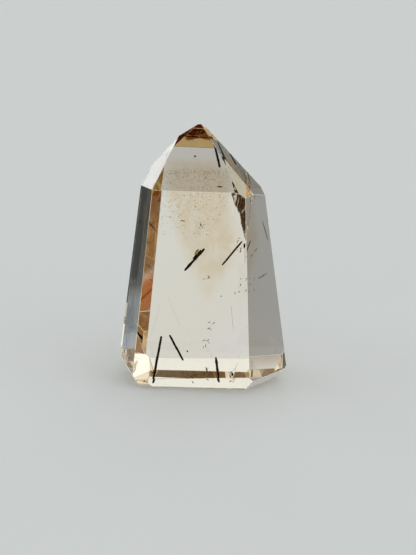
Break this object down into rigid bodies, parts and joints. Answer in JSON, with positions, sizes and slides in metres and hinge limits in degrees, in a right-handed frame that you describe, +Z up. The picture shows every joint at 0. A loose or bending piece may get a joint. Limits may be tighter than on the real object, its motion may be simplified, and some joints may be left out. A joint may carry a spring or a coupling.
{
  "type": "rutilated quartz tower",
  "caption": "Polished six-sided point of clear, faintly smoky quartz with dark needles sealed inside, standing on a flat bevelled base.",
  "frame": {"origin": "middle of the bounding box on the plane of the flat base", "axes": "+Z up the tower toward its tip, -Y toward the wide front side, +X to the right seen from the front"},
  "size_m": [0.0307, 0.0194, 0.0464],
  "materials": {
    "quartz": "clear quartz with a faint smoky beige tint, polished facets, index of refraction 1.544",
    "needles": "near-black mineral needles with a dull vitreous to submetallic lustre"
  },
  "bodies": {
    "root": {"quartz_front": "quartz", "quartz_back": "quartz", "needle_centre": "needles", "needle_upper_right": "needles", "needle_lower_left": "needles", "needle_lower_middle": "needles", "needle_base_right": "needles", "needle_tip": "needles", "needle_tip_right": "needles"}
  },
  "joints": []
}
